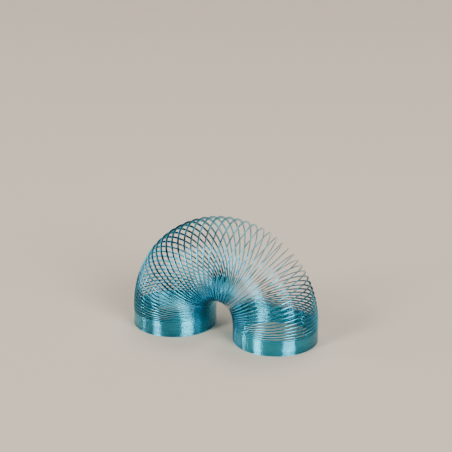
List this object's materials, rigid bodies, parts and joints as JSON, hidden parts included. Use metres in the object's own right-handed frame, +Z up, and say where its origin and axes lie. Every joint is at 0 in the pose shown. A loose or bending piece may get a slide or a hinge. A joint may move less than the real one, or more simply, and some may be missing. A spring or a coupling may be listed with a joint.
{
  "type": "spring coil toy",
  "caption": "Walking coil spring of lacquered flat steel wire, arched over on two closed feet, each arch turn hinged at the inside of the bend.",
  "frame": {"origin": "centre of the footprint of the two feet, on the floor", "axes": "+X from the left foot to the right foot, +Z up, +Y to the back"},
  "size_m": [0.1566, 0.068, 0.0947],
  "materials": {
    "teal_lacquer": "glossy translucent teal lacquer over bright steel"
  },
  "bodies": {
    "left_foot": {"left_foot_coils": "teal_lacquer"},
    "turn_01": {"arch_turn_01": "teal_lacquer"},
    "turn_02": {"arch_turn_02": "teal_lacquer"},
    "turn_03": {"arch_turn_03": "teal_lacquer"},
    "turn_04": {"arch_turn_04": "teal_lacquer"},
    "turn_05": {"arch_turn_05": "teal_lacquer"},
    "turn_06": {"arch_turn_06": "teal_lacquer"},
    "turn_07": {"arch_turn_07": "teal_lacquer"},
    "turn_08": {"arch_turn_08": "teal_lacquer"},
    "turn_09": {"arch_turn_09": "teal_lacquer"},
    "turn_10": {"arch_turn_10": "teal_lacquer"},
    "turn_11": {"arch_turn_11": "teal_lacquer"},
    "turn_12": {"arch_turn_12": "teal_lacquer"},
    "turn_13": {"arch_turn_13": "teal_lacquer"},
    "turn_14": {"arch_turn_14": "teal_lacquer"},
    "turn_15": {"arch_turn_15": "teal_lacquer"},
    "turn_16": {"arch_turn_16": "teal_lacquer"},
    "turn_17": {"arch_turn_17": "teal_lacquer"},
    "turn_18": {"arch_turn_18": "teal_lacquer"},
    "turn_19": {"arch_turn_19": "teal_lacquer"},
    "turn_20": {"arch_turn_20": "teal_lacquer"},
    "turn_21": {"arch_turn_21": "teal_lacquer"},
    "turn_22": {"arch_turn_22": "teal_lacquer"},
    "turn_23": {"arch_turn_23": "teal_lacquer"},
    "turn_24": {"arch_turn_24": "teal_lacquer"},
    "turn_25": {"arch_turn_25": "teal_lacquer"},
    "turn_26": {"arch_turn_26": "teal_lacquer"},
    "turn_27": {"arch_turn_27": "teal_lacquer"},
    "turn_28": {"arch_turn_28": "teal_lacquer"},
    "turn_29": {"arch_turn_29": "teal_lacquer"},
    "turn_30": {"arch_turn_30": "teal_lacquer"},
    "turn_31": {"arch_turn_31": "teal_lacquer"},
    "turn_32": {"arch_turn_32": "teal_lacquer"},
    "turn_33": {"arch_turn_33": "teal_lacquer"},
    "turn_34": {"arch_turn_34": "teal_lacquer"},
    "turn_35": {"arch_turn_35": "teal_lacquer"},
    "turn_36": {"arch_turn_36": "teal_lacquer"},
    "turn_37": {"arch_turn_37": "teal_lacquer"},
    "turn_38": {"arch_turn_38": "teal_lacquer"},
    "turn_39": {"arch_turn_39": "teal_lacquer"},
    "turn_40": {"arch_turn_40": "teal_lacquer"},
    "turn_41": {"arch_turn_41": "teal_lacquer"},
    "turn_42": {"arch_turn_42": "teal_lacquer"},
    "turn_43": {"arch_turn_43": "teal_lacquer"},
    "turn_44": {"arch_turn_44": "teal_lacquer"},
    "turn_45": {"arch_turn_45": "teal_lacquer"},
    "turn_46": {"arch_turn_46": "teal_lacquer"},
    "turn_47": {"arch_turn_47": "teal_lacquer"},
    "turn_48": {"arch_turn_48": "teal_lacquer"},
    "right_foot": {"right_foot_coils": "teal_lacquer"}
  },
  "joints": [
    {"name": "bend_00", "type": "hinge", "parent": "left_foot", "child": "turn_01", "pos_m": [-0.01131, 0, 0.01289], "axis": [0, 1, 0], "range_deg": [-0.3519, 0]},
    {"name": "bend_01", "type": "hinge", "parent": "turn_01", "child": "turn_02", "pos_m": [-0.0113, 0, 0.01369], "axis": [0, 1, 0], "range_deg": [-1.49, 0]},
    {"name": "bend_02", "type": "hinge", "parent": "turn_02", "child": "turn_03", "pos_m": [-0.01126, 0, 0.0145], "axis": [0, 1, 0], "range_deg": [-1.68, 0]},
    {"name": "bend_03", "type": "hinge", "parent": "turn_03", "child": "turn_04", "pos_m": [-0.01121, 0, 0.01531], "axis": [0, 1, 0], "range_deg": [-1.91, 0]},
    {"name": "bend_04", "type": "hinge", "parent": "turn_04", "child": "turn_05", "pos_m": [-0.01113, 0, 0.01613], "axis": [0, 1, 0], "range_deg": [-2.15, 0]},
    {"name": "bend_05", "type": "hinge", "parent": "turn_05", "child": "turn_06", "pos_m": [-0.01101, 0, 0.01695], "axis": [0, 1, 0], "range_deg": [-2.4, 0]},
    {"name": "bend_06", "type": "hinge", "parent": "turn_06", "child": "turn_07", "pos_m": [-0.01086, 0, 0.01778], "axis": [0, 1, 0], "range_deg": [-2.66, 0]},
    {"name": "bend_07", "type": "hinge", "parent": "turn_07", "child": "turn_08", "pos_m": [-0.01067, 0, 0.0186], "axis": [0, 1, 0], "range_deg": [-2.93, 0]},
    {"name": "bend_08", "type": "hinge", "parent": "turn_08", "child": "turn_09", "pos_m": [-0.01044, 0, 0.01943], "axis": [0, 1, 0], "range_deg": [-3.19, 0]},
    {"name": "bend_09", "type": "hinge", "parent": "turn_09", "child": "turn_10", "pos_m": [-0.01015, 0, 0.02025], "axis": [0, 1, 0], "range_deg": [-3.45, 0]},
    {"name": "bend_10", "type": "hinge", "parent": "turn_10", "child": "turn_11", "pos_m": [-0.00982, 0, 0.02106], "axis": [0, 1, 0], "range_deg": [-3.7, 0]},
    {"name": "bend_11", "type": "hinge", "parent": "turn_11", "child": "turn_12", "pos_m": [-0.00943, 0, 0.02185], "axis": [0, 1, 0], "range_deg": [-3.94, 0]},
    {"name": "bend_12", "type": "hinge", "parent": "turn_12", "child": "turn_13", "pos_m": [-0.00898, 0, 0.02263], "axis": [0, 1, 0], "range_deg": [-4.17, 0]},
    {"name": "bend_13", "type": "hinge", "parent": "turn_13", "child": "turn_14", "pos_m": [-0.00847, 0, 0.02337], "axis": [0, 1, 0], "range_deg": [-4.39, 0]},
    {"name": "bend_14", "type": "hinge", "parent": "turn_14", "child": "turn_15", "pos_m": [-0.0079, 0, 0.02408], "axis": [0, 1, 0], "range_deg": [-4.59, 0]},
    {"name": "bend_15", "type": "hinge", "parent": "turn_15", "child": "turn_16", "pos_m": [-0.00727, 0, 0.02475], "axis": [0, 1, 0], "range_deg": [-4.77, 0]},
    {"name": "bend_16", "type": "hinge", "parent": "turn_16", "child": "turn_17", "pos_m": [-0.00658, 0, 0.02536], "axis": [0, 1, 0], "range_deg": [-4.94, 0]},
    {"name": "bend_17", "type": "hinge", "parent": "turn_17", "child": "turn_18", "pos_m": [-0.00584, 0, 0.02592], "axis": [0, 1, 0], "range_deg": [-5.08, 0]},
    {"name": "bend_18", "type": "hinge", "parent": "turn_18", "child": "turn_19", "pos_m": [-0.00505, 0, 0.02641], "axis": [0, 1, 0], "range_deg": [-5.21, 0]},
    {"name": "bend_19", "type": "hinge", "parent": "turn_19", "child": "turn_20", "pos_m": [-0.00421, 0, 0.02684], "axis": [0, 1, 0], "range_deg": [-5.31, 0]},
    {"name": "bend_20", "type": "hinge", "parent": "turn_20", "child": "turn_21", "pos_m": [-0.00334, 0, 0.02718], "axis": [0, 1, 0], "range_deg": [-5.39, 0]},
    {"name": "bend_21", "type": "hinge", "parent": "turn_21", "child": "turn_22", "pos_m": [-0.00243, 0, 0.02744], "axis": [0, 1, 0], "range_deg": [-5.44, 0]},
    {"name": "bend_22", "type": "hinge", "parent": "turn_22", "child": "turn_23", "pos_m": [-0.00151, 0, 0.02761], "axis": [0, 1, 0], "range_deg": [-5.47, 0]},
    {"name": "bend_23", "type": "hinge", "parent": "turn_23", "child": "turn_24", "pos_m": [-0.00056, 0, 0.02769], "axis": [0, 1, 0], "range_deg": [-5.48, 0]},
    {"name": "left_arch_bend", "type": "hinge", "parent": "turn_24", "child": "turn_25", "pos_m": [0.00038, 0, 0.02769], "axis": [0, 1, 0], "range_deg": [-5.47, 0]},
    {"name": "right_arch_bend", "type": "hinge", "parent": "turn_25", "child": "turn_26", "pos_m": [0.00132, 0, 0.02759], "axis": [0, 1, 0], "range_deg": [-5.43, 0]},
    {"name": "bend_26", "type": "hinge", "parent": "turn_26", "child": "turn_27", "pos_m": [0.00224, 0, 0.02741], "axis": [0, 1, 0], "range_deg": [-5.37, 0]},
    {"name": "bend_27", "type": "hinge", "parent": "turn_27", "child": "turn_28", "pos_m": [0.00314, 0, 0.02714], "axis": [0, 1, 0], "range_deg": [-5.29, 0]},
    {"name": "bend_28", "type": "hinge", "parent": "turn_28", "child": "turn_29", "pos_m": [0.00401, 0, 0.02679], "axis": [0, 1, 0], "range_deg": [-5.19, 0]},
    {"name": "bend_29", "type": "hinge", "parent": "turn_29", "child": "turn_30", "pos_m": [0.00484, 0, 0.02636], "axis": [0, 1, 0], "range_deg": [-5.06, 0]},
    {"name": "bend_30", "type": "hinge", "parent": "turn_30", "child": "turn_31", "pos_m": [0.00562, 0, 0.02587], "axis": [0, 1, 0], "range_deg": [-4.92, 0]},
    {"name": "bend_31", "type": "hinge", "parent": "turn_31", "child": "turn_32", "pos_m": [0.00636, 0, 0.02531], "axis": [0, 1, 0], "range_deg": [-4.76, 0]},
    {"name": "bend_32", "type": "hinge", "parent": "turn_32", "child": "turn_33", "pos_m": [0.00704, 0, 0.0247], "axis": [0, 1, 0], "range_deg": [-4.59, 0]},
    {"name": "bend_33", "type": "hinge", "parent": "turn_33", "child": "turn_34", "pos_m": [0.00767, 0, 0.02404], "axis": [0, 1, 0], "range_deg": [-4.4, 0]},
    {"name": "bend_34", "type": "hinge", "parent": "turn_34", "child": "turn_35", "pos_m": [0.00824, 0, 0.02334], "axis": [0, 1, 0], "range_deg": [-4.19, 0]},
    {"name": "bend_35", "type": "hinge", "parent": "turn_35", "child": "turn_36", "pos_m": [0.00875, 0, 0.0226], "axis": [0, 1, 0], "range_deg": [-3.98, 0]},
    {"name": "bend_36", "type": "hinge", "parent": "turn_36", "child": "turn_37", "pos_m": [0.0092, 0, 0.02184], "axis": [0, 1, 0], "range_deg": [-3.76, 0]},
    {"name": "bend_37", "type": "hinge", "parent": "turn_37", "child": "turn_38", "pos_m": [0.00961, 0, 0.02106], "axis": [0, 1, 0], "range_deg": [-3.53, 0]},
    {"name": "bend_38", "type": "hinge", "parent": "turn_38", "child": "turn_39", "pos_m": [0.00996, 0, 0.02026], "axis": [0, 1, 0], "range_deg": [-3.3, 0]},
    {"name": "bend_39", "type": "hinge", "parent": "turn_39", "child": "turn_40", "pos_m": [0.01026, 0, 0.01945], "axis": [0, 1, 0], "range_deg": [-3.06, 0]},
    {"name": "bend_40", "type": "hinge", "parent": "turn_40", "child": "turn_41", "pos_m": [0.01051, 0, 0.01864], "axis": [0, 1, 0], "range_deg": [-2.83, 0]},
    {"name": "bend_41", "type": "hinge", "parent": "turn_41", "child": "turn_42", "pos_m": [0.01072, 0, 0.01782], "axis": [0, 1, 0], "range_deg": [-2.59, 0]},
    {"name": "bend_42", "type": "hinge", "parent": "turn_42", "child": "turn_43", "pos_m": [0.01089, 0, 0.017], "axis": [0, 1, 0], "range_deg": [-2.37, 0]},
    {"name": "bend_43", "type": "hinge", "parent": "turn_43", "child": "turn_44", "pos_m": [0.01103, 0, 0.01618], "axis": [0, 1, 0], "range_deg": [-2.15, 0]},
    {"name": "bend_44", "type": "hinge", "parent": "turn_44", "child": "turn_45", "pos_m": [0.01114, 0, 0.01536], "axis": [0, 1, 0], "range_deg": [-1.94, 0]},
    {"name": "bend_45", "type": "hinge", "parent": "turn_45", "child": "turn_46", "pos_m": [0.01121, 0, 0.01455], "axis": [0, 1, 0], "range_deg": [-1.75, 0]},
    {"name": "bend_46", "type": "hinge", "parent": "turn_46", "child": "turn_47", "pos_m": [0.01127, 0, 0.01374], "axis": [0, 1, 0], "range_deg": [-1.58, 0]},
    {"name": "bend_47", "type": "hinge", "parent": "turn_47", "child": "turn_48", "pos_m": [0.0113, 0, 0.01294], "axis": [0, 1, 0], "range_deg": [-1.44, 0]},
    {"name": "bend_48", "type": "hinge", "parent": "turn_48", "child": "right_foot", "pos_m": [0.01131, 0, 0.01214], "axis": [0, 1, 0], "range_deg": [-0.3462, 0]}
  ],
  "couplings": [
    {"joint": "bend_00", "follows": "left_arch_bend", "ratio": 0.06401},
    {"joint": "bend_01", "follows": "left_arch_bend", "ratio": 0.27198},
    {"joint": "bend_02", "follows": "left_arch_bend", "ratio": 0.30742},
    {"joint": "bend_03", "follows": "left_arch_bend", "ratio": 0.34846},
    {"joint": "bend_04", "follows": "left_arch_bend", "ratio": 0.39285},
    {"joint": "bend_05", "follows": "left_arch_bend", "ratio": 0.43936},
    {"joint": "bend_06", "follows": "left_arch_bend", "ratio": 0.48708},
    {"joint": "bend_07", "follows": "left_arch_bend", "ratio": 0.53525},
    {"joint": "bend_08", "follows": "left_arch_bend", "ratio": 0.58325},
    {"joint": "bend_09", "follows": "left_arch_bend", "ratio": 0.6305},
    {"joint": "bend_10", "follows": "left_arch_bend", "ratio": 0.6765},
    {"joint": "bend_11", "follows": "left_arch_bend", "ratio": 0.72078},
    {"joint": "bend_12", "follows": "left_arch_bend", "ratio": 0.76292},
    {"joint": "bend_13", "follows": "left_arch_bend", "ratio": 0.80253},
    {"joint": "bend_14", "follows": "left_arch_bend", "ratio": 0.83928},
    {"joint": "bend_15", "follows": "left_arch_bend", "ratio": 0.87286},
    {"joint": "bend_16", "follows": "left_arch_bend", "ratio": 0.90299},
    {"joint": "bend_17", "follows": "left_arch_bend", "ratio": 0.92945},
    {"joint": "bend_18", "follows": "left_arch_bend", "ratio": 0.95204},
    {"joint": "bend_19", "follows": "left_arch_bend", "ratio": 0.9706},
    {"joint": "bend_20", "follows": "left_arch_bend", "ratio": 0.98501},
    {"joint": "bend_21", "follows": "left_arch_bend", "ratio": 0.99519},
    {"joint": "bend_22", "follows": "left_arch_bend", "ratio": 1.0011},
    {"joint": "bend_23", "follows": "left_arch_bend", "ratio": 1.0027},
    {"joint": "bend_26", "follows": "right_arch_bend", "ratio": 0.98891},
    {"joint": "bend_27", "follows": "right_arch_bend", "ratio": 0.9738},
    {"joint": "bend_28", "follows": "right_arch_bend", "ratio": 0.95482},
    {"joint": "bend_29", "follows": "right_arch_bend", "ratio": 0.93216},
    {"joint": "bend_30", "follows": "right_arch_bend", "ratio": 0.90604},
    {"joint": "bend_31", "follows": "right_arch_bend", "ratio": 0.87671},
    {"joint": "bend_32", "follows": "right_arch_bend", "ratio": 0.84442},
    {"joint": "bend_33", "follows": "right_arch_bend", "ratio": 0.80949},
    {"joint": "bend_34", "follows": "right_arch_bend", "ratio": 0.77224},
    {"joint": "bend_35", "follows": "right_arch_bend", "ratio": 0.73299},
    {"joint": "bend_36", "follows": "right_arch_bend", "ratio": 0.69211},
    {"joint": "bend_37", "follows": "right_arch_bend", "ratio": 0.65},
    {"joint": "bend_38", "follows": "right_arch_bend", "ratio": 0.60703},
    {"joint": "bend_39", "follows": "right_arch_bend", "ratio": 0.56365},
    {"joint": "bend_40", "follows": "right_arch_bend", "ratio": 0.52029},
    {"joint": "bend_41", "follows": "right_arch_bend", "ratio": 0.47741},
    {"joint": "bend_42", "follows": "right_arch_bend", "ratio": 0.43553},
    {"joint": "bend_43", "follows": "right_arch_bend", "ratio": 0.39518},
    {"joint": "bend_44", "follows": "right_arch_bend", "ratio": 0.35699},
    {"joint": "bend_45", "follows": "right_arch_bend", "ratio": 0.3217},
    {"joint": "bend_46", "follows": "right_arch_bend", "ratio": 0.29033},
    {"joint": "bend_47", "follows": "right_arch_bend", "ratio": 0.26466},
    {"joint": "bend_48", "follows": "right_arch_bend", "ratio": 0.06339}
  ]
}
